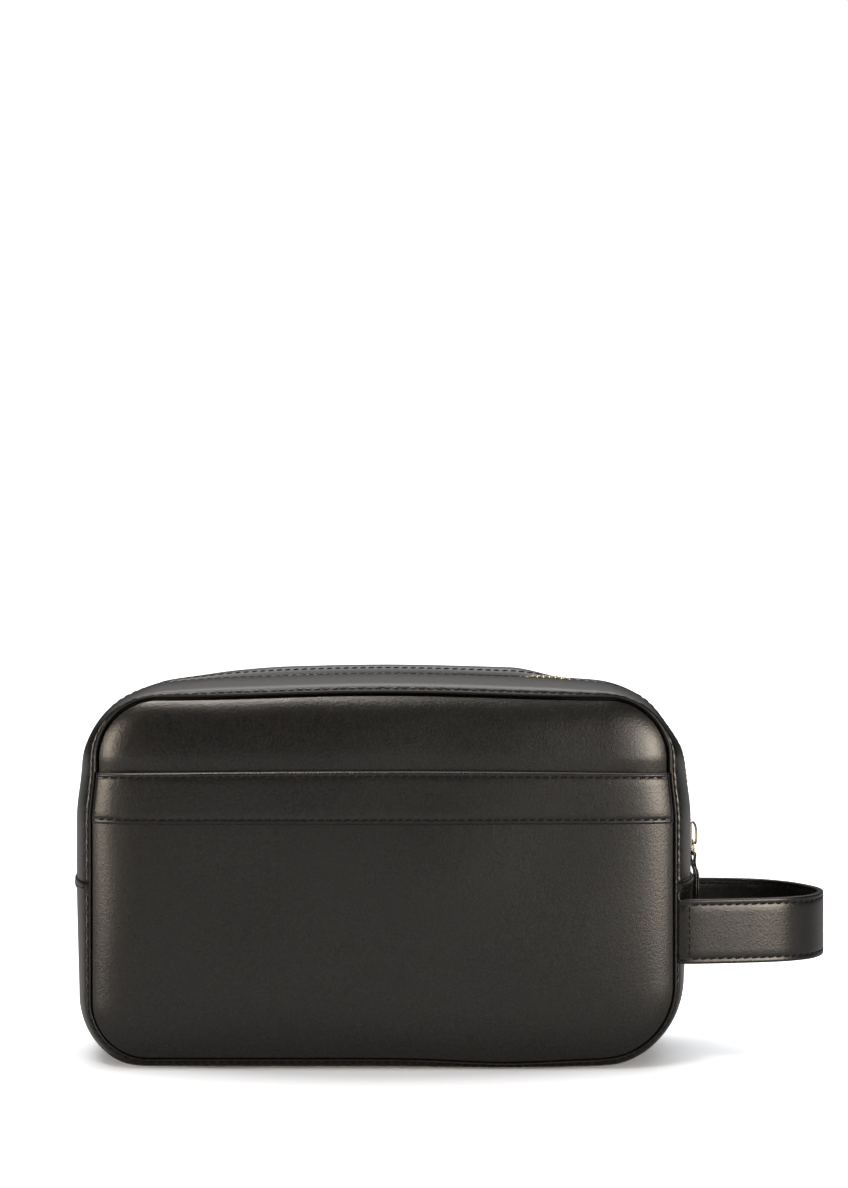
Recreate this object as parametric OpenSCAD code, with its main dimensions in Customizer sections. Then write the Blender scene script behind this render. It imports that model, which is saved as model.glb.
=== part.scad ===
// Zipped leather wash bag with a slip pocket and a wrist strap.
// Millimetres. Origin at the centre of the base on the floor, +X towards the strap, front towards -Y, +Z up.

/* [Body] */
// Width of the front panel between its side seams
panel_w = 226.4; // [216:0.4:240]
// Height of the upper run of the front and back seams
seam_top = 145.6; // [140:0.1:160]
// Height of the lower run of the front and back seams
seam_bottom = 4.3; // [3.5:0.1:5.5]
// Depth from the front seam to the back seam
seam_depth = 76; // [72:1:84]
// Corner radius of both seams
corner_r = 24; // [22:0.5:27]
// How far the zip strips stand out beyond the seams
strip_bulge = 10.3; // [9.5:0.1:11.5]
// How far the lower gusset stands out beyond the seams
lower_bulge = 11.8; // [11:0.1:12.5]
// Half width of the flat crest along the middle of the gusset
crest_y = 10; // [9.5:0.1:10.5]
// Height of the cross seams where the zip strips meet the lower gusset
cross_z = 72.5; // [71:0.1:74]
// Height of the line where the front folds open
fold_z = 90; // [89.8:0.1:90.4]

/* [Panels] */
// Height of the crown of the front and back panels
crown_h = 3; // [2.6:0.1:3.4]
// Width of the rolled edge round each panel
crown_w = 12; // [11:0.5:13]
// Thickness of the leather
leather_t = 1.4; // [1.2:0.1:1.5]
// Thickness of the foam behind each panel
foam_t = 1.6; // [1.2:0.1:2]
// Thickness of the lining
lining_t = 0.5; // [0.4:0.1:0.6]
// Thickness of the base board
board_t = 1.5; // [1:0.1:2]
// Height of the top of the pocket
pocket_top = 115.5; // [110:0.5:118]
// Height of the band along the pocket's mouth
band_h = 19.6; // [16:0.2:20]

/* [Zip] */
// Distance between two teeth of one row
tooth_pitch = 2.4; // [2.3:0.1:2.8]
// Length of one tooth along the zip
tooth_l = 1.15; // [1:0.05:1.2]
// Thickness of the teeth through the zip
tooth_t = 2.4; // [2:0.1:2.5]
// Width of each row of teeth
tooth_w = 2.85; // [2.6:0.05:2.9]
// Half of the gap between the two zip strips
zip_gap = 5.5; // [5.3:0.1:6]
// Thickness of the tape
tape_t = 0.55; // [0.4:0.05:0.6]
// Length of the slider
slider_l = 13.2; // [12:0.2:13.6]
// Height of the slider's lower end
slider_z = 80.6; // [80.4:0.1:81]

/* [Strap] */
// Width of the strap
strap_w = 25.2; // [20:0.2:28]
// Height of the strap's lower edge
strap_z = 40.6; // [36:0.2:41]
// Thickness of each of its two layers
strap_t = 1.3; // [1:0.1:1.5]
// How far its straight part runs out from the middle of the bag
strap_reach = 139.5; // [130:0.5:150]

/* [Hidden] */

$fn = 96;
gap = 0.05;
far = 400;
half_w = panel_w / 2;
half_depth = seam_depth / 2;
gusset_y = half_depth - gap;
corner_x = half_w - corner_r;
corner_top = seam_top - corner_r;
corner_bottom = seam_bottom + corner_r;

// Layers, counted inwards from the leather's outer face
lining_in = leather_t + gap;
foam_in = leather_t + gap;
panel_lining_in = foam_in + foam_t + gap;
crown_radius = (crown_w * crown_w + crown_h * crown_h) / (2 * crown_h);
crown_y = half_depth + crown_h;
lining_edge = 3.2;
strip_z = cross_z + 2 * gap;

// Pocket layers lie outside the panel, so they count outwards
pocket_gap = 0.1;
pocket_t = 1.5;
pocket_out = pocket_gap + pocket_t;
band_t = 1.3;
band_in = pocket_out + gap;
band_out = band_in + band_t;
pocket_overhang = 1.0;
band_overhang = 1.2;

// Zip, with heights counted outwards from the seams
tape_top = strip_bulge - leather_t - gap;
chain_r = tape_top - tape_t / 2;
tape_y = tooth_w + 2 * gap;
tape_edge_y = crest_y - 0.1;
strip_lining_y = crest_y + 0.1;
chain_start = slider_z + 0.6;
side_len = corner_top - chain_start;
turn_r = corner_r + chain_r;
turn_len = PI / 2 * turn_r;
top_len = 2 * corner_x;
chain_len = 2 * side_len + 2 * turn_len + top_len;
stop_l = 1.3;
stop_z = slider_z - stop_l - 0.4;
tab_h = 3.8;
tab_t = 0.8;

// Slider
plate_clear = 0.25;
plate_t = 1;
plate_in = tooth_t / 2 + plate_clear;
slider_w = 9.4;
flange_w = 0.8;
flange_clear = 0.5;
slider_corner = 2.4;
bridge_h = 2.8;
bridge_l = 10.4;
bridge_w = 1.8;
bridge_t = 1.2;
bridge_lift = 2.4;
bridge_base = chain_r + plate_in + plate_t;
bridge_z = slider_z + bridge_lift;

// Pull link, a rounded rectangle of wire in the plane across the slider, and the puller folded over it
wire_r = 0.5;
link_w = 7;
link_l = 5.4;
link_corner = 1.4;
link_x = half_w + bridge_base + (bridge_h - bridge_t) / 2;
link_z = bridge_z + bridge_t + 0.3 + wire_r;
fold_r = 1.2;
fold_bore = wire_r + 0.1;
fold_w = 4;
puller_w = 8;
puller_t = 2;
puller_z = link_z - link_l;
puller_neck = 1.7;
puller_bend_z = 73.8;
puller_end_z = 52;
puller_out = 2.6;

function arc_radius(bulge) = (pow(half_depth - crest_y, 2) + bulge * bulge) / (2 * bulge);
function clamp(v, low, high) = max(low, min(high, v));
// Direction of the outward normal at distance s along the zip, 0 on the strap side and 90 on top
function chain_angle(s) =
    clamp((s - side_len) / turn_r * 180 / PI, 0, 90)
    + clamp((s - side_len - turn_len - top_len) / turn_r * 180 / PI, 0, 90);
function chain_centre(s) = [
    corner_x - clamp(s - side_len - turn_len, 0, top_len),
    chain_start + min(s, side_len) - max(0, s - side_len - 2 * turn_len - top_len)
];
function chain_z(s) = chain_centre(s)[1] + turn_r * sin(chain_angle(s));

// ---- Cross-sections, with x outwards from the seam and y through the depth of the bag ----

// Everything inside the gusset's outer face, inset by a layer depth
module bulge_area(bulge, inset) {
    rho = arc_radius(bulge);
    reach = half_depth + 1;
    for (side = [-1, 1])
        intersection() {
            translate([bulge - rho, side * crest_y]) circle(r = rho - inset);
            translate([-corner_r, side > 0 ? crest_y : -reach]) square([corner_r + 2 * bulge, reach - crest_y]);
        }
    translate([-corner_r, -crest_y]) square([corner_r + bulge - inset, 2 * crest_y]);
}

// One layer of the gusset between two depths, from y0 to y1
module bulge_layer(bulge, outer, inner, y0, y1) {
    intersection() {
        difference() {
            bulge_area(bulge, outer);
            bulge_area(bulge, inner);
        }
        translate([-corner_r / 2, y0]) square([corner_r + bulge, y1 - y0]);
    }
}

// Rolled edge of the front panel
module crown_edge(outer, inner, overhang) {
    intersection() {
        translate([-crown_w, crown_radius - crown_y])
            difference() {
                circle(r = crown_radius - outer);
                circle(r = crown_radius - inner);
            }
        translate([-crown_w, -half_depth - crown_w]) square([crown_w + overhang, crown_w]);
    }
}

module rounded_rect(x0, y0, x1, y1, r) {
    translate([x0 + r, y0]) square([x1 - x0 - 2 * r, y1 - y0]);
    translate([x0, y0 + r]) square([x1 - x0, y1 - y0 - 2 * r]);
    for (x = [x0 + r, x1 - r])
        for (y = [y0 + r, y1 - r])
            translate([x, y]) circle(r = r);
}

// ---- Sweeps of a cross-section along the seams ----

module on_side(side) {
    if (side > 0) children();
    else mirror([1, 0, 0]) children();
}

module side_run(side, z0, z1) {
    on_side(side) translate([half_w, 0, z0]) linear_extrude(z1 - z0) children();
}

module flat_run(z) {
    translate([0, 0, z]) rotate([0, -90, 0]) linear_extrude(top_len, center = true) children();
}

module top_corner(side) {
    on_side(side)
        translate([corner_x, 0, corner_top]) rotate([-90, 0, 0]) rotate([0, 0, -90])
            rotate_extrude(angle = 90) translate([corner_r, 0]) children();
}

module bottom_corner(side) {
    on_side(side)
        translate([corner_x, 0, corner_bottom]) rotate([-90, 0, 0])
            rotate_extrude(angle = 90) translate([corner_r, 0]) children();
}

// Up one side from z0, over the top and down the other side
module arch(z0) {
    for (side = [-1, 1]) {
        side_run(side, z0, corner_top) children();
        top_corner(side) children();
    }
    flat_run(seam_top) children();
}

// Down both sides from z1 and along the bottom
module cradle(z1) {
    for (side = [-1, 1]) {
        side_run(side, corner_bottom, z1) children();
        bottom_corner(side) children();
    }
    mirror([0, 0, 1]) flat_run(-seam_bottom) children();
}

module between(z0, z1) {
    intersection() {
        children();
        translate([-far / 2, -far / 2, z0]) cube([far, far, z1 - z0]);
    }
}

// Solid of the lower half of the bag, flat at floor_z
module lower_block(inset, floor_z, top_z) {
    between(floor_z, top_z) {
        cradle(top_z + 1) bulge_area(lower_bulge, inset);
        translate([-corner_x, -half_depth - 1, corner_bottom])
            cube([2 * corner_x, seam_depth + 2, top_z + 1 - corner_bottom]);
    }
}

module lower_shell(outer, inner, outer_floor, inner_floor) {
    intersection() {
        difference() {
            lower_block(outer, outer_floor, cross_z);
            lower_block(inner, inner_floor, cross_z + 1);
        }
        translate([-far / 2, -gusset_y, -1]) cube([far, 2 * gusset_y, far]);
    }
}

// One crowned layer of the front, from z0 to z1
module front_layer(outer, inner, overhang, z0, z1) {
    between(z0, z1) {
        arch(corner_bottom) crown_edge(outer, inner, overhang);
        cradle(corner_bottom + 1) crown_edge(outer, inner, overhang);
        translate([0, inner - crown_y, 0]) rotate([90, 0, 0]) linear_extrude(inner - outer)
            rounded_rect(-half_w + crown_w, seam_bottom + crown_w, half_w - crown_w, seam_top - crown_w,
                corner_r - crown_w);
    }
}

// One flat lining sheet behind the front foam
module lining_sheet(z0, z1) {
    between(z0, z1)
        translate([0, panel_lining_in + lining_t - crown_y, 0]) rotate([90, 0, 0]) linear_extrude(lining_t)
            rounded_rect(-half_w + lining_edge, seam_bottom + lining_edge, half_w - lining_edge,
                seam_top - lining_edge, corner_r - lining_edge);
}

module leather() { color([0.16, 0.145, 0.135]) children(); }
module cloth() { color([0.10, 0.10, 0.11]) children(); }
module foam() { color([0.32, 0.32, 0.34]) children(); }
module metal() { color([0.86, 0.79, 0.64]) children(); }

// ---- Panels ----

module back_panel() {
    leather() mirror([0, 1, 0]) front_layer(0, leather_t, 0, 0, far);
}

module back_foam() {
    foam() mirror([0, 1, 0]) front_layer(foam_in, foam_in + foam_t, 0, 0, far);
}

module back_lining() {
    cloth() mirror([0, 1, 0]) lining_sheet(0, far);
}

module front_panel_lower() {
    leather() front_layer(0, leather_t, 0, 0, fold_z - gap);
}

module front_panel_upper() {
    leather() front_layer(0, leather_t, 0, fold_z + gap, far);
}

module front_foam_lower() {
    foam() front_layer(foam_in, foam_in + foam_t, 0, 0, fold_z - gap);
}

module front_foam_upper() {
    foam() front_layer(foam_in, foam_in + foam_t, 0, fold_z + gap, far);
}

module front_lining_lower() {
    cloth() lining_sheet(0, fold_z - gap);
}

module front_lining_upper() {
    cloth() lining_sheet(fold_z + gap, far);
}

module pocket_lower() {
    leather() front_layer(-pocket_out, -pocket_gap, pocket_overhang, 0, fold_z - gap);
}

module pocket_upper() {
    leather() front_layer(-pocket_out, -pocket_gap, pocket_overhang, fold_z + gap, pocket_top - gap);
}

module pocket_band() {
    leather() front_layer(-band_out, -band_in, band_overhang, pocket_top - band_h, pocket_top);
}

// ---- Lower gusset ----

module gusset_bottom() {
    leather() lower_shell(0, leather_t, 0, leather_t);
}

module gusset_lining_lower() {
    lining_floor = leather_t + board_t + 2 * gap;
    cloth() lower_shell(lining_in, lining_in + lining_t, lining_floor, lining_floor + lining_t);
}

module base_board() {
    board_x = corner_x - 5;
    board_y = half_depth - 9;
    foam() translate([0, 0, leather_t + gap]) linear_extrude(board_t)
        rounded_rect(-board_x, -board_y, board_x, board_y, 6);
}

// ---- Zip strips, tapes and linings ----

module strip_section(side) {
    if (side < 0) bulge_layer(strip_bulge, 0, leather_t, -gusset_y, -zip_gap);
    else bulge_layer(strip_bulge, 0, leather_t, zip_gap, gusset_y);
}

module strip_lining_section(side) {
    if (side < 0) bulge_layer(strip_bulge, lining_in, lining_in + lining_t, -gusset_y, -strip_lining_y);
    else bulge_layer(strip_bulge, lining_in, lining_in + lining_t, strip_lining_y, gusset_y);
}

module tape_section(side) {
    translate([tape_top - tape_t, side < 0 ? -tape_edge_y : tape_y]) square([tape_t, tape_edge_y - tape_y]);
}

module front_ends() {
    for (side = [-1, 1])
        side_run(side, strip_z, fold_z - gap) children();
}

module zip_strip_back() {
    leather() arch(strip_z) strip_section(1);
}

module zip_strip_front() {
    leather() arch(fold_z + gap) strip_section(-1);
}

module zip_strip_front_ends() {
    leather() front_ends() strip_section(-1);
}

module strip_lining_back() {
    cloth() arch(strip_z) strip_lining_section(1);
}

module strip_lining_front() {
    cloth() arch(fold_z + gap) strip_lining_section(-1);
}

module strip_lining_front_ends() {
    cloth() front_ends() strip_lining_section(-1);
}

module zip_tape_back() {
    cloth() arch(strip_z) tape_section(1);
}

module zip_tape_front() {
    cloth() arch(fold_z + gap) tape_section(-1);
}

module zip_tape_front_ends() {
    cloth() front_ends() tape_section(-1);
}

module zip_end_tab(side) {
    leather() side_run(side, cross_z - tab_h, cross_z)
        bulge_layer(lower_bulge, -tab_t - gap, -gap, -gusset_y, gusset_y);
}

module zip_end_tab_right() {
    zip_end_tab(1);
}

module zip_end_tab_left() {
    zip_end_tab(-1);
}

// ---- Zip teeth and stops ----

module tooth(s, side) {
    centre = chain_centre(s);
    translate([centre[0], 0, centre[1]]) rotate([0, -chain_angle(s), 0])
        translate([turn_r - tooth_t / 2, side < 0 ? -tooth_w : gap, -tooth_l / 2])
            cube([tooth_t, tooth_w - gap, tooth_l]);
}

// The teeth of one row whose height is between z0 and z1
module teeth(side, z0, z1) {
    first = side < 0 ? tooth_pitch / 2 : tooth_pitch;
    for (s = [first : tooth_pitch : chain_len - tooth_l])
        if (chain_z(s) - tooth_l > z0 && chain_z(s) + tooth_l < z1)
            tooth(s, side);
}

module zip_teeth_back() {
    metal() teeth(1, 0, far);
}

module zip_teeth_front() {
    metal() teeth(-1, fold_z - tooth_l / 2 + gap, far);
}

module zip_teeth_front_ends() {
    metal() teeth(-1, 0, fold_z + tooth_l / 2 - gap);
}

module zip_top_stops() {
    metal() side_run(1, stop_z, stop_z + stop_l)
        for (y = [-tooth_w, gap])
            translate([chain_r - tooth_t / 2, y]) square([tooth_t, tooth_w - gap]);
}

module zip_bottom_stop() {
    metal() side_run(-1, stop_z, stop_z + stop_l)
        translate([chain_r - tooth_t / 2, -tooth_w]) square([tooth_t, 2 * tooth_w]);
}

// ---- Slider, link and puller ----

// A plate of the slider, from x0 to x1 outwards from the seam
module slider_plate(x0, x1) {
    translate([half_w + x0, 0, slider_z]) rotate([0, 90, 0]) linear_extrude(x1 - x0)
        rounded_rect(-slider_l, -slider_w / 2, 0, slider_w / 2, slider_corner);
}

module slider_flanges(x0, x1) {
    for (y = [-slider_w / 2, slider_w / 2 - flange_w])
        translate([half_w + x0, y, slider_z + slider_corner])
            cube([x1 - x0, flange_w, slider_l - 2 * slider_corner]);
}

module bridge() {
    translate([half_w + bridge_base, bridge_w / 2, bridge_z]) rotate([90, 0, 0]) linear_extrude(bridge_w)
        difference() {
            rounded_rect(-bridge_t, 0, bridge_h, bridge_l, bridge_t);
            rounded_rect(0, bridge_t, bridge_h - bridge_t, bridge_l - bridge_t, bridge_t / 3);
            translate([-2 * bridge_t, -1]) square([2 * bridge_t - plate_t / 2, bridge_l + 2]);
        }
}

module slider() {
    metal() {
        slider_plate(chain_r + plate_in, chain_r + plate_in + plate_t);
        slider_flanges(chain_r + flange_clear, chain_r + plate_in + plate_t / 2);
        bridge();
        slider_plate(chain_r - plate_in - plate_t, chain_r - plate_in);
        slider_flanges(chain_r - plate_in - plate_t / 2, chain_r - flange_clear);
    }
}

module pull_link() {
    straight_y = link_w / 2 - link_corner;
    metal() translate([link_x, 0, link_z - link_l / 2]) rotate([0, 90, 0]) {
        for (turn = [0, 180])
            rotate([0, 0, turn]) {
                translate([link_l / 2, straight_y, 0]) rotate([90, 0, 0]) cylinder(r = wire_r, h = 2 * straight_y);
                translate([link_corner - link_l / 2, link_w / 2, 0]) rotate([0, 90, 0])
                    cylinder(r = wire_r, h = link_l - 2 * link_corner);
                translate([link_l / 2 - link_corner, straight_y, 0])
                    rotate_extrude(angle = 90) translate([link_corner, 0]) circle(r = wire_r);
                translate([link_corner - link_l / 2, straight_y, 0]) rotate([0, 0, 90])
                    rotate_extrude(angle = 90) translate([link_corner, 0]) circle(r = wire_r);
            }
    }
}

// Side outline of the puller's tongue below the fold, x outwards from the link
module puller_side() {
    t = puller_t / 2;
    polygon([
        [-t, puller_z], [t, puller_z],
        [puller_out + t, puller_bend_z + t], [puller_out + t, puller_end_z],
        [puller_out - t, puller_end_z], [puller_out - t, puller_bend_z]
    ]);
}

module puller() {
    leather() difference() {
        union() {
            translate([link_x, fold_w / 2, puller_z]) rotate([90, 0, 0]) cylinder(r = fold_r, h = fold_w);
            translate([link_x, fold_w / 2, 0]) rotate([90, 0, 0]) linear_extrude(fold_w) puller_side();
            between(0, puller_z - puller_neck)
                translate([link_x, puller_w / 2, 0]) rotate([90, 0, 0]) linear_extrude(puller_w) puller_side();
        }
        translate([link_x, puller_w, puller_z]) rotate([90, 0, 0]) cylinder(r = fold_bore, h = 2 * puller_w);
    }
}

// ---- Strap ----

// One layer of the strap, from its outer face inwards
module strap_layer(outer, inner) {
    loop_r = half_depth - 2 * gap;
    leather() difference() {
        translate([0, 0, strap_z]) linear_extrude(strap_w) {
            intersection() {
                translate([strap_reach, 0]) difference() {
                    circle(r = loop_r - outer);
                    circle(r = loop_r - inner);
                }
                translate([strap_reach, -far / 2]) square([far, far]);
            }
            for (y = [outer - loop_r, loop_r - inner])
                translate([half_w, y]) square([strap_reach - half_w, inner - outer]);
        }
        side_run(1, strap_z - 1, strap_z + strap_w + 1) bulge_area(lower_bulge, -gap);
    }
}

module strap_outer() {
    strap_layer(0, strap_t);
}

module strap_inner() {
    strap_layer(strap_t + gap, 2 * strap_t + gap);
}

back_panel();
back_foam();
back_lining();
front_panel_lower();
front_foam_lower();
front_lining_lower();
pocket_lower();
front_panel_upper();
front_foam_upper();
front_lining_upper();
pocket_upper();
pocket_band();
gusset_bottom();
gusset_lining_lower();
base_board();
zip_strip_back();
zip_strip_front();
zip_strip_front_ends();
strip_lining_back();
strip_lining_front();
strip_lining_front_ends();
zip_tape_back();
zip_tape_front();
zip_tape_front_ends();
zip_teeth_back();
zip_teeth_front();
zip_teeth_front_ends();
zip_top_stops();
zip_bottom_stop();
zip_end_tab_right();
zip_end_tab_left();
slider();
pull_link();
puller();
strap_outer();
strap_inner();
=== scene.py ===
"""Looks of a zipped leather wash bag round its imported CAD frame: front towards -Y, strap towards +X, +Z up.

Shapes are worked out in millimetres and turned into metres where a mesh is made.
"""
import math

import bmesh
import bpy
import numpy as np
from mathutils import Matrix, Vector

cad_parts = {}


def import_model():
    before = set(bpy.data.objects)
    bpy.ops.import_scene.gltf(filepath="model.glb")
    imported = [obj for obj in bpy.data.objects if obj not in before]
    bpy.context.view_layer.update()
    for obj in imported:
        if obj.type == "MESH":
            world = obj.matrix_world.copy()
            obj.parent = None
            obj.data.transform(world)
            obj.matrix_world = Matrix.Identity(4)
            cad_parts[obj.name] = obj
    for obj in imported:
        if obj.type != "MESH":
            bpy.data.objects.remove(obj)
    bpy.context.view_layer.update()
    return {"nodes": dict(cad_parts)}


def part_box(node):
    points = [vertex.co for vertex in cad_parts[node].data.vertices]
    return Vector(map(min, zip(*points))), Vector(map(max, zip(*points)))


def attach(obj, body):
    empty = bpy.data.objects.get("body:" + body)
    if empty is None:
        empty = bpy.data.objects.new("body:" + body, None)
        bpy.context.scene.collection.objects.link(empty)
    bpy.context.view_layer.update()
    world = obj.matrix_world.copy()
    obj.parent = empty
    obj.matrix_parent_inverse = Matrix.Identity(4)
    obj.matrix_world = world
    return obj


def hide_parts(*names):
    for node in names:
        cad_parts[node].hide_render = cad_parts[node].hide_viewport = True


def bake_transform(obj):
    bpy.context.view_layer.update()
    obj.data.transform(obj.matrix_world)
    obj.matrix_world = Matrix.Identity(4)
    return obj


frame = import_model()

MM = 0.001
BAG_MIDDLE = np.array([0, 0, 75])


def cad(node):
    """Lowest and highest corner of a CAD node, in millimetres."""
    low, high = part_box(node)
    return np.array(low) / MM, np.array(high) / MM


# ---- Driving sizes, from the frame ----

panel_low, panel_high = cad("back_panel")
strip_low, strip_high = cad("zip_strip_front")
band_low, band_high = cad("pocket_band")
strap_low, strap_high = cad("strap_outer")
stop_low, stop_high = cad("zip_top_stops")
slider_low, slider_high = cad("slider")
link_low, link_high = cad("pull_link")
puller_low, puller_high = cad("puller")
tab_low, tab_high = cad("zip_end_tab_right")

HALF_W = panel_high[0]
HALF_D = panel_low[1]
SEAM_TOP = panel_high[2]
SEAM_BOTTOM = panel_low[2]
CROSS_Z = cad("gusset_bottom")[1][2]
ZIP_GAP = -strip_high[1]
CHAIN_X = (stop_low[0] + stop_high[0]) / 2

BAND_H = band_high[2] - band_low[2]
POCKET_TOP = band_high[2] - 1.5

# ---- Sizes of the looks ----

LEATHER_T = 1.3
LINING_T = 0.5
FOAM_T = 1.6
TAPE_T = 0.55
STRAP_T = 1.3
PANEL_INSET = 0.6
STITCH_PITCH = 3.4
CORNER_R = 24.0
SHARP_ANGLE = math.radians(40)

# Panels: how far they crown and belly out, and how quickly the crown rises from the seam
CROWN = 4.2
CROWN_REACH = 7
BELLY = 1.1
POCKET_OUT = 1.5
BAND_OUT = 1.3

# Samples along a side, a corner and the top or bottom of a seam
SEAM_STEPS = (42, 34, 140, 34, 42)

# Height of the zip edge over the front seam: 0 to 1 up a side, 1 to 2 round a corner, 2.5 in the middle
EDGE_PLACES = (0, 0.6, 1, 1.16, 1.36, 1.75, 1.95, 2.04, 2.13, 2.5)
EDGE_RISES = (9.8, 9.8, 9.3, 7.1, 5.7, 3.9, 4.5, 5.7, 6.6, 6.8)
CHAIN_SINK = HALF_W + EDGE_RISES[0] - CHAIN_X

# Bulge of the lower gusset: 0 to 1 down the strap side, 2 to 3 along the bottom, 4 to 5 up the other side
LOWER_PLACES = (0, 0.5, 1, 1.5, 2, 3, 3.5, 4, 4.6, 5)
LOWER_BULGES = (10.6, 8.3, 7.0, 6.5, 8.6, 10.2, 9.1, 8.9, 9.8, 10.3)


# ---- Small maths ----

def smooth(t):
    t = np.clip(t, 0, 1)
    return t * t * (3 - 2 * t)


def lerp(a, b, t):
    return a + (b - a) * t


def bump(x, centre, width):
    return np.exp(-((x - centre) / width) ** 2)


def unit(v):
    return v / np.linalg.norm(v, axis=-1, keepdims=True)


def curve_through(points, steps):
    """A smooth curve through given points, with this many steps between each two."""
    points = np.array(points, float)
    ends = np.vstack([2 * points[0] - points[1], points, 2 * points[-1] - points[-2]])
    curve = []
    for a, b, c, d in zip(ends, ends[1:], ends[2:], ends[3:]):
        for t in np.arange(steps) / steps:
            curve.append(0.5 * (2 * b + (c - a) * t + (2 * a - 5 * b + 4 * c - d) * t * t
                                + (3 * b - a - 3 * c + d) * t ** 3))
    return np.array(curve + [points[-1]])


def lengths_along(path):
    """Length from the start of a path to each of its points."""
    return np.concatenate([[0], np.cumsum(np.linalg.norm(np.diff(path, axis=0), axis=1))])


def walk(path, pitch, ends):
    """Places along a path at an even pitch, as fractional indexes, with this length left out at both ends."""
    lengths = lengths_along(path)
    span = lengths[-1] - 2 * ends
    count = max(1, round(span / pitch))
    places = ends + (np.arange(count) + 0.5) * span / count
    return np.interp(places, lengths, np.arange(len(path)))


def constant(vector, count):
    """The same vector for each of a number of points."""
    return np.tile(np.array(vector, float), (count, 1))


def at(values, index):
    """Values of a sampled curve at fractional indexes."""
    low = np.clip(np.floor(index).astype(int), 0, len(values) - 2)
    return lerp(values[low], values[low + 1], (index - low)[:, None])


# ---- Meshes ----

def in_scene(name, data):
    """A new object in the scene."""
    obj = bpy.data.objects.new(name, data)
    bpy.context.scene.collection.objects.link(obj)
    return obj


def smooth_faces(mesh):
    mesh.shade_smooth()
    mesh.set_sharp_from_angle(angle=SHARP_ANGLE)


def mesh_object(name, points, faces):
    """A mesh object from points in millimetres."""
    mesh = bpy.data.meshes.new(name)
    mesh.from_pydata((np.asarray(points).reshape(-1, 3) * MM).tolist(), [], faces)
    mesh.validate()
    smooth_faces(mesh)
    return in_scene(name, mesh)


def grid_faces(rows, columns, wrap=False):
    """Quads of a grid; wrap joins the last column to the first."""
    last = columns if wrap else columns - 1
    return [(r * columns + c, r * columns + (c + 1) % columns,
             (r + 1) * columns + (c + 1) % columns, (r + 1) * columns + c)
            for r in range(rows - 1) for c in range(last)]


def face_outwards(obj, middle):
    """Turns the faces of an open sheet so that most look away from a point in millimetres."""
    centre = Vector(middle * MM)
    ways = sum(face.normal.dot(face.center - centre) * face.area for face in obj.data.polygons)
    if ways < 0:
        obj.data.flip_normals()


def sheet_object(name, rows, middle=BAG_MIDDLE, wrap=False):
    """An open sheet from an array of rows of points, facing away from a point."""
    rows = np.asarray(rows)
    obj = mesh_object(name, rows, grid_faces(rows.shape[0], rows.shape[1], wrap))
    face_outwards(obj, np.asarray(middle))
    return obj


def bake(obj):
    """Applies the modifiers, so that the mesh is final."""
    graph = bpy.context.evaluated_depsgraph_get()
    mesh = bpy.data.meshes.new_from_object(obj.evaluated_get(graph))
    obj.modifiers.clear()
    obj.data = mesh
    mesh.name = obj.name
    smooth_faces(mesh)


def round_edges(obj, width, segments, angle):
    bevel = obj.modifiers.new("edges", "BEVEL")
    bevel.width = width * MM
    bevel.segments = segments
    bevel.limit_method = "ANGLE"
    bevel.angle_limit = math.radians(angle)


def thicken(obj, thickness, edge=0.25):
    """Gives a sheet its thickness inwards and rounds its cut edges."""
    solid = obj.modifiers.new("thickness", "SOLIDIFY")
    solid.thickness = thickness * MM
    solid.offset = -1
    if edge:
        round_edges(obj, edge, 2, 60)
    bake(obj)
    return obj


def loft(name, rings):
    """A closed solid through rings of points, with flat ends."""
    rings = np.asarray(rings)
    count = rings.shape[1]
    last = (len(rings) - 1) * count
    faces = grid_faces(len(rings), count, wrap=True)
    faces += [tuple(range(count))[::-1], tuple(range(last, last + count))]
    obj = mesh_object(name, rings, faces)
    recalculate(obj)
    return obj


def sweep(name, centres, across, out, section, widths=None):
    """A solid with a closed section, (across, out) in millimetres, moved along a path."""
    widths = np.ones(len(centres)) if widths is None else widths
    section = np.array(section)
    return loft(name, centres[:, None] + across[:, None] * section[None, :, :1] * widths[:, None, None]
                + out[:, None] * section[None, :, 1:])


def recalculate(obj):
    """Turns the faces of closed solids outwards."""
    edit = bmesh.new()
    edit.from_mesh(obj.data)
    bmesh.ops.recalc_face_normals(edit, faces=edit.faces)
    edit.to_mesh(obj.data)
    edit.free()


def points_and_faces(edit):
    """The points and faces of an edit mesh, which is then freed."""
    edit.verts.index_update()
    points = np.array([v.co[:] for v in edit.verts])
    faces = [tuple(v.index for v in f.verts) for f in edit.faces]
    edit.free()
    return points, faces


def block(size, bevel):
    """Points and faces of a block with rounded edges, centred on the origin."""
    edit = bmesh.new()
    bmesh.ops.create_cube(edit, size=1)
    bmesh.ops.scale(edit, vec=size, verts=edit.verts)
    bmesh.ops.bevel(edit, geom=edit.edges[:], offset=bevel, segments=2, profile=0.5, affect="EDGES")
    return points_and_faces(edit)


def bead(length, width, height):
    """Points and faces of one stitch: a long bead of thread with blunt ends."""
    edit = bmesh.new()
    bmesh.ops.create_uvsphere(edit, u_segments=8, v_segments=6, radius=0.5)
    points, faces = points_and_faces(edit)
    points = points[:, [2, 0, 1]]
    points[:, 0] = np.sign(points[:, 0]) * (2 * abs(points[:, 0])) ** 0.75 / 2
    return points * (length, width, height), faces


def repeat(name, shape, centres, along, out):
    """Copies of one shape, with its x along, its z out and its y across, as one object."""
    points, faces = shape
    along = unit(along)
    across = unit(np.cross(out, along))
    out = np.cross(along, across)
    axes = np.stack([along, across, out], axis=1)
    placed = centres[:, None] + np.einsum("pi,nij->npj", points, axes)
    count = len(points)
    all_faces = [tuple(i + n * count for i in face) for n in range(len(centres)) for face in faces]
    obj = mesh_object(name, placed, all_faces)
    recalculate(obj)
    return obj


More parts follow.
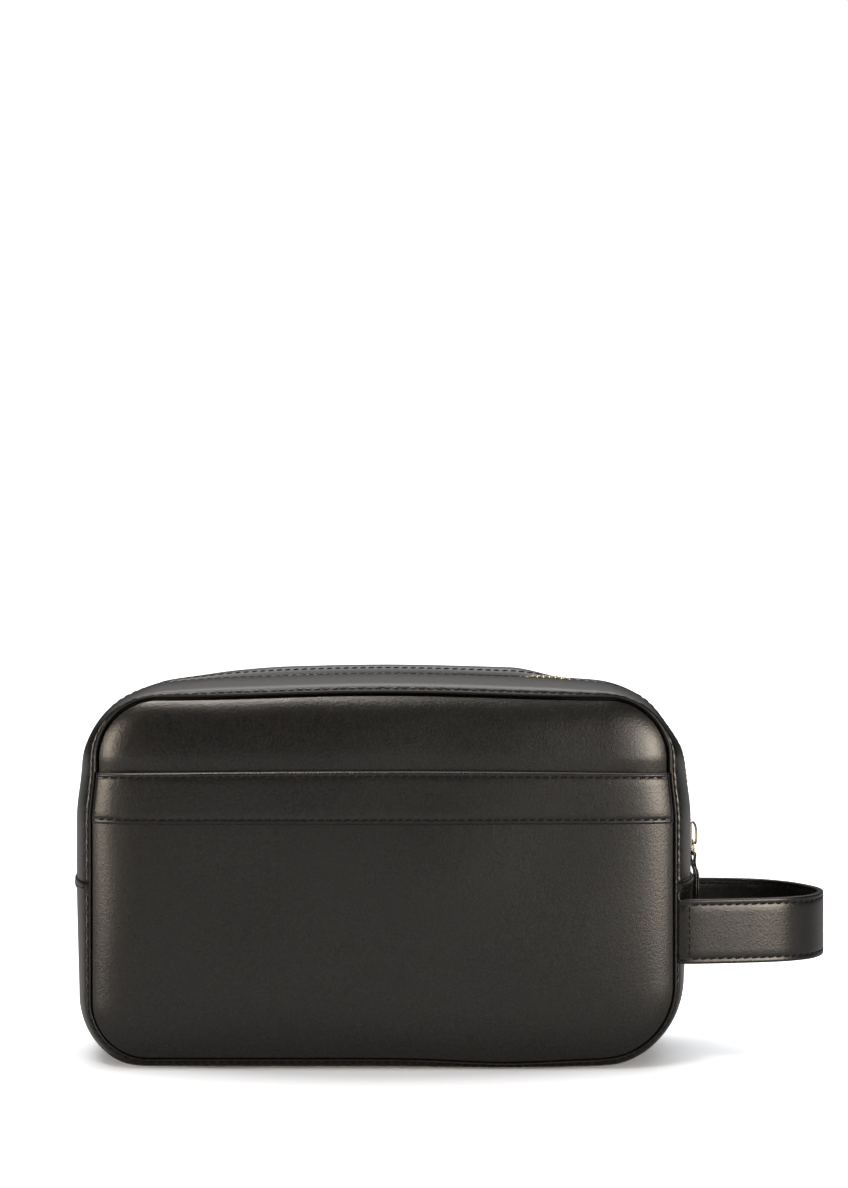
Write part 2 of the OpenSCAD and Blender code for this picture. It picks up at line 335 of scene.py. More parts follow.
# Length, width and height of one stitch
STITCH = (2.7, 0.95, 0.8)
STITCH_SLANT = math.radians(7)


def stitches(name, path, out, ends=1.0, sink=0.12, size=STITCH, pitch=STITCH_PITCH):
    """A row of stitches along a path on a surface, sunk a little into the leather, with its ends left out."""
    index = walk(path, pitch, ends)
    centres = at(path, index)
    along = unit(at(np.gradient(path, axis=0), index))
    out = unit(at(np.asarray(out), index))
    across = np.cross(out, along)
    slanted = along * math.cos(STITCH_SLANT) + across * math.sin(STITCH_SLANT)
    return repeat(name, bead(*size), centres - out * sink, slanted, out)


def joined(name, parts):
    """Several objects as one."""
    with bpy.context.temp_override(active_object=parts[0], selected_editable_objects=parts):
        bpy.ops.object.join()
    parts[0].name = name
    parts[0].data.name = name
    return parts[0]


# ---- Outline of the seams ----

# The front seam's departures from the back one, as how much, where and how widely
LEAN, LEAN_FROM, LEAN_RUN = 1.7, 96, 22
TOP_DROP, TOP_ARCH, TOP_HALF = 1.1, 1.8, 87
BOTTOM_SAG, BOTTOM_SAG_X, BOTTOM_SAG_RUN = 1.6, 48, 27
LOWER_FRONT_R = {1: 28.5, -1: 22.0}


def arch(x, half):
    """1 in the middle and 0 at a half width."""
    return np.cos(np.clip(x / half, -1, 1) * math.pi / 2)


def lean(z):
    """How far the front seam leans in towards the top."""
    return LEAN * smooth((z - LEAN_FROM) / LEAN_RUN)


def top_line(x):
    """Height of the front seam along the top, which sags next to the corners."""
    return SEAM_TOP - TOP_DROP + TOP_ARCH * arch(x, TOP_HALF) ** 2


def bottom_sag(x):
    """How far the front seam hangs down along the bottom, next to the strap side."""
    return BOTTOM_SAG * bump(x, BOTTOM_SAG_X, BOTTOM_SAG_RUN)


def corner_radius(front, up, side):
    """Radius of one corner; the lower front ones have taken a set of their own."""
    return LOWER_FRONT_R[side] if front and up < 0 else CORNER_R


def seam(front, up):
    """Points (x, z) of a seam and its outward directions, from the strap side to the other.

    up is 1 for the half over the cross seams and -1 for the half under them.
    """
    points = []
    ways = []
    shaped = front and up > 0
    top = top_line(HALF_W) if shaped else (SEAM_TOP if up > 0 else SEAM_BOTTOM)
    half_w = HALF_W - (lean(SEAM_TOP) if shaped else 0)
    for run, t in seam_stations():
        side = 1 if run < 2 else -1
        radius = corner_radius(front, up, side)
        centre = np.array([side * (half_w - radius), top - up * radius])
        if run in (0, 4):
            z = lerp(CROSS_Z, centre[1], t if run == 0 else 1 - t)
            way = (side, 0)
            point = (side * (HALF_W - (lean(z) if shaped else 0)), z)
        elif run == 2:
            x = lerp(half_w - corner_radius(front, up, 1), corner_radius(front, up, -1) - half_w, t)
            way = (0, up)
            point = (x, top_line(x) if shaped else top - bottom_sag(x) * front)
        else:
            angle = (t if run == 1 else 1 - t) * math.pi / 2
            way = (side * math.cos(angle), up * math.sin(angle))
            point = centre + radius * np.array(way)
        points.append(point)
        ways.append(way)
    return np.array(points), np.array(ways)


def seam_stations():
    """Run number and share of the run, for each sample of a seam."""
    pairs = [(run, i / count) for run, count in enumerate(SEAM_STEPS) for i in range(count)]
    return pairs + [(4, 1.0)]


STATION = np.array([run + t for run, t in seam_stations()])
FRONT_UP = seam(True, 1)
BACK_UP = seam(False, 1)
FRONT_DOWN = seam(True, -1)
BACK_DOWN = seam(False, -1)


def place(points, ways, r, y):
    """Points at r outwards from a seam outline and at depth y."""
    flat = points + ways * np.asarray(r)[:, None]
    return np.column_stack([flat[:, 0], np.broadcast_to(y, len(flat)), flat[:, 1]])


# ---- Surfaces ----

# A gusset turns up steeply next to its seam, then curves over to its crest
FLANK_RISE = 2.7
FLANK_SHARE = 0.4
FLANK_DEPTH = 1.5
STRIP_CURVE = 2.2
LOWER_CURVE = 2.4

# Its edge, as heights along its normal: a rib, a valley under the stitches, then puckers
SEAM_STITCH = 1.35
RIB, RIB_PLACE, RIB_RUN = 0.7, 0.42, 0.26
VALLEY, VALLEY_RUN = 0.42, 0.4
PUCKER, PUCKER_PLACE, PUCKER_RUN, PUCKER_PITCH = 0.11, 2.2, 0.8, 7.9
TUCK_RUN, TUCK_DOWN, TUCK_IN = 0.16, 0.3, 1.4

# The zip edge is pressed in next to the zip, and at the corner on the strap side
ZIP_PRESS, ZIP_PRESS_RUN = 0.5, 1.2
CORNER_PRESS, CORNER_PRESS_PLACE, CORNER_PRESS_RUN = 1.7, 1.3, 0.22

# The back strip's hump along the top: its height, its place behind the zip, and how it fades at both ends
HUMP_RISE, HUMP_PLACE = 3.3, 8.5
HUMP_LEFT, HUMP_LEFT_RUN = -100, 62
HUMP_RIGHT, HUMP_RIGHT_RUN = 51, 23

FLOOR_SOFTNESS = 0.8
FLOOR_REACH = 6
BOARD_LIFT = 1.8


def eased(values):
    """A sampled curve with its kinks smoothed away."""
    for _ in range(12):
        values[1:-1] = (values[:-2] + 2 * values[1:-1] + values[2:]) / 4
    return values


def edge_rise():
    """Height of the zip edge over the front seam at each sample."""
    rise = np.interp(np.minimum(STATION, 5 - STATION), EDGE_PLACES, EDGE_RISES)
    return eased(rise - CORNER_PRESS * bump(STATION, CORNER_PRESS_PLACE, CORNER_PRESS_RUN))


def back_hump():
    """How much higher the back strip stands than the zip edge, at each sample."""
    x = FRONT_UP[0][:, 0]
    left = smooth((x - HUMP_LEFT) / HUMP_LEFT_RUN)
    right = 1 - smooth((x - HUMP_RIGHT) / HUMP_RIGHT_RUN)
    return HUMP_RISE * left * right * np.where((STATION > 1.9) & (STATION < 3.1), 1, 0)


EDGE_RISE = edge_rise()
LOWER_RISE = eased(np.interp(STATION, LOWER_PLACES, LOWER_BULGES))
HUMP = back_hump()


def seam_edge(s, length):
    """Rib, stitch valley and puckers of a gusset at depth s from its seam, as heights along its normal."""
    rib = RIB * bump(s, RIB_PLACE, RIB_RUN) - VALLEY * bump(s, SEAM_STITCH, VALLEY_RUN)
    turns = length * 2 * math.pi
    waves = np.sin(turns / STITCH_PITCH) + 0.7 * np.sin(turns / PUCKER_PITCH + 1)
    return rib + PUCKER * bump(s, PUCKER_PLACE, PUCKER_RUN) * waves


def gusset_row(outlines, rise, reach, power, y, depth):
    """Points of a gusset at depth y through the bag, with depth counted inwards from the leather's face."""
    front, back = outlines
    side = -1 if y < 0 else 1
    s = HALF_D - abs(y)
    remaining = 1 - min(s / reach, 1)
    flank = np.minimum(FLANK_RISE, FLANK_SHARE * rise)
    fall = math.exp(-s / FLANK_DEPTH)
    crest = rise - flank * (1 - math.exp(-reach / FLANK_DEPTH))
    height = flank * (1 - fall) + crest * (1 - remaining ** power)
    angle = np.arctan(flank / FLANK_DEPTH * fall + power * rise / reach * remaining ** (power - 1))
    up = -depth if depth else seam_edge(s, lengths_along(front[0]))
    tuck = max(0, 1 - s / TUCK_RUN)
    points = lerp(front[0], back[0], smooth((y - ZIP_GAP) / (HALF_D - ZIP_GAP)))
    return place(points, front[1], height + up * np.cos(angle) - TUCK_DOWN * tuck,
                 y + side * (up * np.sin(angle) - TUCK_IN * tuck))


def upwards():
    """The zip strips' outward directions at each sample."""
    return np.column_stack([FRONT_UP[1][:, 0], np.zeros(len(STATION)), FRONT_UP[1][:, 1]])


def upper_profile(y, depth=0.0):
    """Points of a zip strip at depth y; the back strip stands higher than the front one along the top."""
    reach = HALF_D - ZIP_GAP
    from_zip = abs(y) - ZIP_GAP
    extra = -ZIP_PRESS * smooth(1 - from_zip / ZIP_PRESS_RUN) * np.ones(len(STATION))
    if y > 0:
        t = max(from_zip, 0) / HUMP_PLACE
        extra = extra + HUMP * t * math.exp(1 - t) * smooth(3 - 3 * from_zip / reach)
    row = gusset_row((FRONT_UP, BACK_UP), EDGE_RISE, reach, STRIP_CURVE, y, depth)
    return row + upwards() * extra[:, None]


def floor_share(z):
    """How far a layer near the floor is lifted by the layers under it."""
    return 1 - smooth(z / FLOOR_REACH)


def lower_profile(y, depth=0.0):
    """Points of the lower gusset at depth y; it is flat where it stands on the floor."""
    row = gusset_row((FRONT_DOWN, BACK_DOWN), LOWER_RISE, HALF_D, LOWER_CURVE, y, depth)
    row[:, 2] = 0.5 * (row[:, 2] + np.sqrt(row[:, 2] ** 2 + FLOOR_SOFTNESS ** 2))
    row[:, 2] += depth * floor_share(row[:, 2])
    return row


# Depths from the seam at which the gussets have a row of points, the last ones only on the zip strips
SEAM_ROWS = (0, 0.06, 0.14, 0.24, 0.34, 0.44, 0.56, 0.7, 0.86, 1.02, 1.18, 1.35, 1.52, 1.72, 2, 2.4, 2.9, 3.6,
             4.6, 6, 8, 10.5, 13.5, 17, 20.5, 24)
ZIP_ROWS = (27, 29, 30.2, 31, 31.6, 32.1, 32.5)
LOWER_ROWS = (27, 30, 33, 36)


def dents(x, z):
    """Soft unevenness of leather over foam: three slow waves across each other."""
    return (0.16 * np.sin(x / 17 + 0.7) * np.sin(z / 13 + 1.9) + 0.10 * np.sin(x / 9.5 - z / 21 + 2.1)
            + 0.12 * np.sin(x / 31 + z / 11 + 0.4))


def inside(x, z, front):
    """Distance inwards from the seam outline of a panel."""
    half_w = HALF_W - (lean(z) if front else 0)
    top = top_line(x) if front else SEAM_TOP
    middle_z = (top + SEAM_BOTTOM) / 2
    past_x = np.abs(x) - (half_w - CORNER_R)
    past_z = np.abs(z - middle_z) - ((top - SEAM_BOTTOM) / 2 - CORNER_R)
    outside = np.hypot(np.maximum(past_x, 0), np.maximum(past_z, 0))
    return CORNER_R - outside - np.minimum(np.maximum(past_x, past_z), 0)


# The front panel is pressed in behind the pocket, and comes out again above it
POCKET_DIP = 0.8
POCKET_DIP_RUN = 9
DENTS_REACH = 12


def pocket_dip(z):
    """How far the front panel is pressed in behind the pocket."""
    return POCKET_DIP * (1 - smooth((z - POCKET_TOP + 1) / POCKET_DIP_RUN))


def panel_depth(x, z, d):
    """How far a panel's face stands out from the bag's middle, at distance d in from its outline."""
    belly = BELLY * arch(x, HALF_W) * np.sin(np.clip(z / SEAM_TOP, 0, 1) * math.pi)
    face = HALF_D + CROWN * (1 - np.exp(-np.maximum(d, 0) / CROWN_REACH)) + belly
    return face + dents(x, z) * smooth(d / DENTS_REACH)


# A panel's rings: first at these distances from its outline, then at these shares of the way to its spine
PANEL_RINGS = (0, 0.2, 0.5, 0.9, 1.5, 2.3, 3.3, 4.6, 6.2, 8.2, 10.6, 13.4, 16.6, 20)
INNER_RINGS = (0.08, 0.18, 0.3, 0.43, 0.57, 0.71, 0.85, 1)
SPINE_HALF = 48.0
EDGE_ROLL = 0.5


def panel_loop(front):
    """The closed outline of a panel and its outward directions."""
    up = FRONT_UP if front else BACK_UP
    down = FRONT_DOWN if front else BACK_DOWN
    return (np.vstack([up[0], down[0][-2:0:-1]]), np.vstack([up[1], down[1][-2:0:-1]]))


def panel_mesh(name, front, inset, out=0.0, tuck=1.4, first_ring=0, top=None):
    """One layer of a panel: inset from the seam, standing out from the panel's own face, cut off at top."""
    points, ways = panel_loop(front)
    side = -1 if front else 1

    def ring(flat, d, tucked=0.0):
        depth = panel_depth(flat[:, 0], flat[:, 1], d) + out - tucked
        if front and not top:
            depth = depth - pocket_dip(flat[:, 1])
        return np.column_stack([flat[:, 0], side * depth, flat[:, 1]])

    rings = [ring(points - ways * (inset + d), d, tuck * max(0, 1 - d / EDGE_ROLL))
             for d in PANEL_RINGS[first_ring:]]
    edge = points - ways * (inset + PANEL_RINGS[-1])
    across = np.clip(np.concatenate([STATION, STATION[-2:0:-1]]) - 2, 0, 1)
    spine = np.column_stack([lerp(SPINE_HALF, -SPINE_HALF, across), np.full(len(edge), BAG_MIDDLE[2])])
    for t in INNER_RINGS:
        flat = lerp(edge, spine, t)
        rings.append(ring(flat, inside(flat[:, 0], flat[:, 1], front)))
    obj = sheet_object(name, rings, wrap=True)
    edit = bmesh.new()
    edit.from_mesh(obj.data)
    bmesh.ops.remove_doubles(edit, verts=edit.verts, dist=0.01 * MM)
    if top:
        bmesh.ops.bisect_plane(edit, geom=edit.verts[:] + edit.edges[:] + edit.faces[:],
                               plane_co=(0, 0, top * MM), plane_no=(0, 0, 1), clear_outer=True)
    edit.to_mesh(obj.data)
    edit.free()
    face_outwards(obj, BAG_MIDDLE)
    return obj


# ---- Materials ----

def shader(name, **settings):
    """A new material with each setting on its Principled shader's own socket."""
    material = bpy.data.materials.new(name)
    material.use_nodes = True
    principled = material.node_tree.nodes["Principled BSDF"]
    for key, value in settings.items():
        principled.inputs[key.replace("_", " ").title().replace("Ior", "IOR")].default_value = value
    return material, principled


def add(material, kind, inputs=None, **settings):
    """A node with its settings, its input values and its links."""
    node = material.node_tree.nodes.new(kind)
    for key, value in settings.items():
        setattr(node, key, value)
    for key, value in (inputs or {}).items():
        if isinstance(value, bpy.types.NodeSocket):
            material.node_tree.links.new(value, node.inputs[key])
        else:
            node.inputs[key].default_value = value
    return node


def place_socket(material):
    return add(material, "ShaderNodeTexCoord").outputs["Object"]


def noise(material, size_mm, detail=3.0, roughness=0.5):
    """Noise whose features are about this many millimetres across."""
    return add(material, "ShaderNodeTexNoise",
               {"Vector": place_socket(material), "Scale": 1 / (size_mm * MM), "Detail": detail,
                "Roughness": roughness}).outputs["Fac"]


def remap(material, value, low, high, out_low=0.0, out_high=1.0):
    return add(material, "ShaderNodeMapRange",
               {"Value": value, "From Min": low, "From Max": high, "To Min": out_low,
                "To Max": out_high}).outputs["Result"]


def mix_colour(material, share, a, b):
    node = add(material, "ShaderNodeMix", data_type="RGBA")
    material.node_tree.links.new(share, node.inputs["Factor"])
    node.inputs["A"].default_value = (*a, 1)
    node.inputs["B"].default_value = (*b, 1)
    return node.outputs["Result"]


def maths(material, operation, a, b):
    node = add(material, "ShaderNodeMath", operation=operation)
    for socket, value in zip(node.inputs, (a, b)):
        if isinstance(value, bpy.types.NodeSocket):
            material.node_tree.links.new(value, socket)
        else:
            socket.default_value = value
    return node.outputs["Value"]


def link(material, value, principled, key):
    material.node_tree.links.new(value, principled.inputs[key])


def set_bump(material, principled, height, distance_mm, strength=1.0):
    node = add(material, "ShaderNodeBump",
               {"Height": height, "Distance": distance_mm * MM, "Strength": strength})
    link(material, node.outputs["Normal"], principled, "Normal")


def leather_material(name, dark, light, rough=(0.27, 0.30)):
    """Smooth black leather: a fine grain in its colour and its relief, and an uneven finish."""
    material, principled = shader(name, specular_ior_level=0.62)
    pores = noise(material, 1.1, detail=2, roughness=0.4)
    fine = noise(material, 0.5, detail=3)
    mottle = noise(material, 6, detail=4, roughness=0.6)
    grain = remap(material, noise(material, 0.8, detail=2), 0.35, 0.65)
    link(material, mix_colour(material, grain, dark, light), principled, "Base Color")
    link(material, remap(material, mottle, 0.3, 0.7, *rough), principled, "Roughness")
    set_bump(material, principled, maths(material, "ADD", pores, fine), 0.1, 0.45)
    return material


def thread_material():
    """Black thread with a twist."""
    material, principled = shader("thread", roughness=0.8, specular_ior_level=0.15)
    twist = add(material, "ShaderNodeTexWave", {"Vector": place_socket(material), "Scale": 1 / (1.6 * MM)},
                bands_direction="DIAGONAL").outputs["Fac"]
    link(material, mix_colour(material, twist, (0.004, 0.004, 0.004), (0.012, 0.011, 0.011)),
         principled, "Base Color")
    set_bump(material, principled, twist, 0.05)
    return material


def woven_material(name, dark, light, yarn_mm, roughness, distance_mm=0.05):
    """Plain weave: two sets of yarns that cross, with uneven colour."""
    material, principled = shader(name, roughness=roughness, sheen_weight=0.15)
    place_at = place_socket(material)
    sets = [add(material, "ShaderNodeTexWave",
                {"Vector": place_at, "Scale": 0.314 / (yarn_mm * MM), "Distortion": 0.6, "Detail": 1.0},
                bands_direction=way).outputs["Fac"] for way in ("X", "Z")]
    weave = maths(material, "MAXIMUM", sets[0], sets[1])
    uneven = noise(material, 4, detail=4)
    shade = maths(material, "MULTIPLY", weave, remap(material, uneven, 0.3, 0.7, 0.6, 1.0))
    link(material, mix_colour(material, shade, dark, light), principled, "Base Color")
    set_bump(material, principled, weave, distance_mm)
    return material


def metal_material(name, colour, roughness, scratch_mm=0.4):
    """Polished plated metal with faint handling marks."""
    material, principled = shader(name, metallic=1.0)
    marks = noise(material, scratch_mm, detail=4, roughness=0.65)
    worn = noise(material, 3, detail=3)
    link(material, mix_colour(material, remap(material, worn, 0.35, 0.7), colour,
                              tuple(c * 0.86 for c in colour)), principled, "Base Color")
    link(material, remap(material, marks, 0.3, 0.8, roughness, roughness + 0.14), principled, "Roughness")
    set_bump(material, principled, marks, 0.01, 0.4)
    return material


def foam_material():
    """Open-celled foam."""
    material, principled = shader("foam", roughness=0.95)
    cells = add(material, "ShaderNodeTexVoronoi",
                {"Vector": place_socket(material), "Scale": 1 / (0.6 * MM)}).outputs["Distance"]
    link(material, mix_colour(material, cells, (0.03, 0.03, 0.032), (0.11, 0.11, 0.115)),
         principled, "Base Color")
    set_bump(material, principled, cells, 0.2)
    return material


def board_material():
    """Pressed fibre board."""
    material, principled = shader("board", roughness=0.8)
    fibres = noise(material, 0.8, detail=5, roughness=0.7)
    link(material, mix_colour(material, fibres, (0.16, 0.12, 0.08), (0.33, 0.27, 0.19)),
         principled, "Base Color")
    set_bump(material, principled, fibres, 0.08)
    return material


BLACK_HIDE = ((0.0015, 0.0014, 0.0013), (0.009, 0.0086, 0.0083))
LEATHER = leather_material("leather_body", *BLACK_HIDE)
STRAP_LEATHER = leather_material("leather_strap", *BLACK_HIDE)
TRIM_LEATHER = leather_material("leather_trim", (0.0050, 0.0048, 0.0046), (0.0070, 0.0067, 0.0064),
                                rough=(0.26, 0.30))
THREAD = thread_material()
LINING = woven_material("lining", (0.012, 0.012, 0.014), (0.045, 0.045, 0.05), 0.45, 0.6)
TAPE = woven_material("zip_tape", (0.006, 0.006, 0.006), (0.028, 0.027, 0.026), 0.6, 0.75, 0.08)
SLIDER_METAL = metal_material("zip_metal", (0.70, 0.64, 0.52), 0.2)
TEETH_METAL = metal_material("zip_teeth", (0.50, 0.44, 0.33), 0.28)
FOAM = foam_material()
BOARD = board_material()


def finish_piece(obj, material, nodes=(), body="bag"):
    """Material, slot and body of a piece; a piece of body "fold" is attached to no body and has its transform
    baked into its mesh.
    """
    obj.data.materials.clear()
    obj.data.materials.append(material)
    if nodes:
        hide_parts(*nodes)
    if body == "fold":
        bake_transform(obj)
    else:
        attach(obj, body)
    return obj


# ---- Panels ----

def front_panel():
    obj = thicken(panel_mesh("front_panel", True, PANEL_INSET), LEATHER_T)
    finish_piece(obj, LEATHER, ("front_panel_lower", "front_panel_upper"), "fold")


def back_panel():
    obj = thicken(panel_mesh("back_panel_skin", False, PANEL_INSET), LEATHER_T)
    finish_piece(obj, LEATHER, ("back_panel",))


def pocket():
    obj = panel_mesh("pocket", True, 0.0, POCKET_OUT, tuck=1.2, top=POCKET_TOP)
    thicken(obj, LEATHER_T)
    finish_piece(obj, LEATHER, ("pocket_lower", "pocket_upper"), "fold")


def panel_layer(part, material, thickness, inset, out, first_ring):
    """A layer cut to size behind the front panel and behind the back one."""
    for front, name, nodes, body in (
            (True, f"front_{part}", (f"front_{part}_lower", f"front_{part}_upper"), "fold"),
            (False, f"back_{part}_sheet", (f"back_{part}",), "bag")):
        obj = panel_mesh(name, front, inset, out, tuck=0, first_ring=first_ring)
        thicken(obj, thickness, edge=0)
        finish_piece(obj, material, nodes, body)


def foams():
    panel_layer("foam", FOAM, FOAM_T, 1.5, -LEATHER_T - 0.15, 2)


def panel_linings():
    panel_layer("lining", LINING, LINING_T, 1.8, -LEATHER_T - FOAM_T - 0.45, 3)


# The band's edges roll in, its stitches lie in a channel, and its ends tuck into the side seams
BAND_FULLNESS = 0.9
BAND_ROLL, BAND_ROLL_RUN = 0.55, 0.9
BAND_STITCH = 1.75
CHANNEL, CHANNEL_RUN = 0.27, 0.6
BAND_TUCK, BAND_TUCK_RUN = 2.4, 0.7
BAND_OVERHANG = 0.75
BAND_ROWS = (0, 0.2, 0.45, 0.8, 1.2, 1.5, 1.75, 2.0, 2.4, 3.2)


def band_point(x, share, inset=BAND_TUCK_RUN):
    """A point on the band's face; share is 0 at its lower edge and 1 at its top edge."""
    z = lerp(band_low[2], band_high[2] + BAND_FULLNESS * arch(x, HALF_W), share)
    from_edge = min(share, 1 - share) * BAND_H
    roll = BAND_ROLL * max(0, 1 - from_edge / BAND_ROLL_RUN) ** 2
    channel = CHANNEL * float(bump(from_edge, BAND_STITCH, CHANNEL_RUN))
    depth = panel_depth(x, z, inside(x, z, True)) + POCKET_OUT + BAND_OUT - roll - channel
    return np.array([x, -(depth - BAND_TUCK * max(0, 1 - inset / BAND_TUCK_RUN)), z])


def band_strip():
    """The folded band along the pocket's mouth."""
    insets = np.array(PANEL_RINGS)
    half = HALF_W - PANEL_INSET + BAND_OVERHANG
    ends = half - insets
    middle = np.linspace(-ends[-1], ends[-1], 50)[1:-1]
    xs = np.concatenate([-ends, middle, ends[::-1]])
    tucks = np.concatenate([insets, np.full(len(middle), BAND_TUCK_RUN), insets[::-1]])
    edge = np.array(BAND_ROWS) / BAND_H
    shares = np.concatenate([edge, np.linspace(edge[-1], 1 - edge[-1], 8)[1:-1], 1 - edge[::-1]])
    rows = []
    for share in shares:
        leans = lean(band_low[2] + share * BAND_H) * np.minimum(1, np.abs(xs) / half)
        rows.append([band_point(x, share, tuck) for x, tuck in zip(xs - np.sign(xs) * leans, tucks)])
    obj = thicken(sheet_object("pocket_band_strip", rows), BAND_OUT - 0.1)
    finish_piece(obj, LEATHER, ("pocket_band",), "fold")


def band_threads():
    for label, share in (("top", 1 - BAND_STITCH / BAND_H), ("bottom", BAND_STITCH / BAND_H)):
        span = HALF_W - PANEL_INSET - 1.2 - lean(band_low[2] + share * BAND_H)
        path = np.array([band_point(x, share) for x in np.linspace(-span, span, 160)])
        row = stitches(f"thread_band_{label}", path, constant((0, -1, 0), len(path)))
        finish_piece(row, THREAD, (), "fold")


# ---- Gussets ----

def lower_gusset():
    ys = [-(HALF_D - s) for s in SEAM_ROWS + LOWER_ROWS] + [0.0]
    ys += [-y for y in ys[-2::-1]]
    rows = [lower_profile(y) for y in ys]
    obj = thicken(sheet_object("lower_gusset", rows), LEATHER_T)
    finish_piece(obj, LEATHER, ("gusset_bottom",))


def lower_gusset_lining():
    rows = [lower_profile(y, LEATHER_T + 0.5) for y in np.linspace(-HALF_D + 0.6, HALF_D - 0.6, 27)]
    for row in rows:
        row[:, 2] += BOARD_LIFT * floor_share(row[:, 2])
    obj = thicken(sheet_object("lower_gusset_lining", rows), LINING_T, edge=0)
    finish_piece(obj, LINING, ("gusset_lining_lower",))


def base_board():
    """The board under the lining that keeps the bottom flat."""
    dress("base_board", BOARD)


def zip_halves(layer):
    """Side, label, replaced nodes and body of the front and the back half of one layer."""
    return ((-1, "front", (f"{layer}_front", f"{layer}_front_ends"), "fold"),
            (1, "back", (f"{layer}_back",), "bag"))


def zip_strips():
    for side, label, nodes, body in zip_halves("zip_strip"):
        rows = [upper_profile(side * (HALF_D - s)) for s in SEAM_ROWS + ZIP_ROWS]
        obj = thicken(sheet_object(f"zip_strip_{label}_skin", rows), LEATHER_T - 0.1)
        finish_piece(obj, LEATHER, nodes, body)


def strip_linings():
    for side, label, nodes, body in zip_halves("strip_lining"):
        rows = [upper_profile(side * y, 2.35) for y in np.linspace(HALF_D - 0.8, 10, 14)]
        obj = thicken(sheet_object(f"zip_strip_lining_{label}", rows), LINING_T, edge=0)
        finish_piece(obj, LINING, nodes, body)


# The zip's chain is upright up to here, where the slider runs, and leans in with the strips above
UPRIGHT_TOP, UPRIGHT_FADE = 122, 14
# Along the top it lies deeper, but shows near the strap side's corner
TOP_SINK = 0.8
PROUD_X, PROUD_RUN = 66, 12


def chain_rail(sink=0.0):
    """Points along the middle of the zip, less a sink."""
    x = FRONT_UP[0][:, 0]
    z = FRONT_UP[0][:, 1]
    from_end = np.minimum(STATION, 5 - STATION)
    on_top = smooth((from_end - 1.1) / 0.7)
    proud = bump(x, PROUD_X, PROUD_RUN) * np.where(from_end > 1.5, 1, 0)
    rise = lerp(EDGE_RISES[0], EDGE_RISE, smooth((from_end - 0.9) / 0.3))
    upright = lean(z) * smooth((UPRIGHT_TOP - z) / UPRIGHT_FADE) * np.where(from_end < 1.2, 1, 0)
    return place(*FRONT_UP, rise + upright - CHAIN_SINK - TOP_SINK * on_top * (1 - proud) + proud - sink, 0.0)


# Depths of the tape's rows, and where it goes from the chain's level to under the leather
TAPE_ROWS = (2.4, 3.2, 4, 4.8, 5.1, 5.6, 6.4, 8, 10, 12.4, 14.6)
TAPE_TURN, TAPE_TURN_RUN = 3.5, 2


def tape_row(y):
    """Points of the zip tape's outer face at depth y."""
    chain = chain_rail(-TAPE_T / 2)
    under = upper_profile(math.copysign(max(abs(y), ZIP_GAP), y), LEATHER_T + 0.1)
    chain[:, 1] = y
    under[:, 1] = y
    return lerp(chain, under, smooth((abs(y) - TAPE_TURN) / TAPE_TURN_RUN))


def tapes():
    for side, label, nodes, body in zip_halves("zip_tape"):
        rows = [tape_row(side * y) for y in TAPE_ROWS]
        obj = thicken(sheet_object(f"zip_tape_{label}_woven", rows), TAPE_T, edge=0)
        finish_piece(obj, TAPE, nodes, body)


TOOTH_PITCH = 2.4
TOOTH_LEG, TOOTH_LEG_DEPTH = (1.0, 1.5, 2.3), 2.1
TOOTH_HEAD, TOOTH_HEAD_DEPTH = (1.1, 1.9, 1.5), 0.6


def teeth():
    """Two rows of metal teeth whose heads pass each other along the middle."""
    rail = chain_rail()
    index = walk(rail, TOOTH_PITCH / 2, slider_low[2] + 0.6 - CROSS_Z)
    centres = at(rail, index)
    out = unit(at(upwards(), index))
    along = unit(at(np.gradient(rail, axis=0), index))
    for side, label, nodes, body in zip_halves("zip_teeth"):
        pick = slice(1 if side < 0 else 0, None, 2)
        depth = np.array([0, side, 0])
        legs = repeat("legs", block(TOOTH_LEG, 0.22), centres[pick] + depth * TOOTH_LEG_DEPTH,
                      along[pick], out[pick])
        heads = repeat("heads", block(TOOTH_HEAD, 0.3), centres[pick] + depth * TOOTH_HEAD_DEPTH,
                       along[pick], out[pick])
        obj = joined(f"zip_teeth_{label}_row", [legs, heads])
        finish_piece(obj, TEETH_METAL, nodes, body)


# Depths through the bag at which an end tab has a ring, closer together at its ends
TAB_DEPTHS = np.concatenate([np.linspace(0.7 - HALF_D, 3 - HALF_D, 6), np.linspace(-34, 34, 35),
                             np.linspace(HALF_D - 3, HALF_D - 0.7, 6)])
TAB_STITCH = 1.5


def tab_rings(lower, step, side):
    """Section of an end tab at each depth: a rounded face, and a lip that turns in to the strips above."""
    low, high = tab_low[2], tab_high[2]
    face = [(0.03, low), (0.3, low + 0.05), (0.5, low + 0.5), (0.6, low + 1.4), (0.6, high - 1.2),
            (0.5, high - 0.1), (0.1, high + 0.4), (-0.5, high + 0.65)]
    section = face + [(step + 0.1, high + 0.65), (step + 0.1, high + 0.12), (0.03, high + 0.12)]
    lines = [np.column_stack([lower[:, 0] + side * out, TAB_DEPTHS, np.full(len(TAB_DEPTHS), z)])
             for out, z in section]
    return np.array(lines).transpose(1, 0, 2)


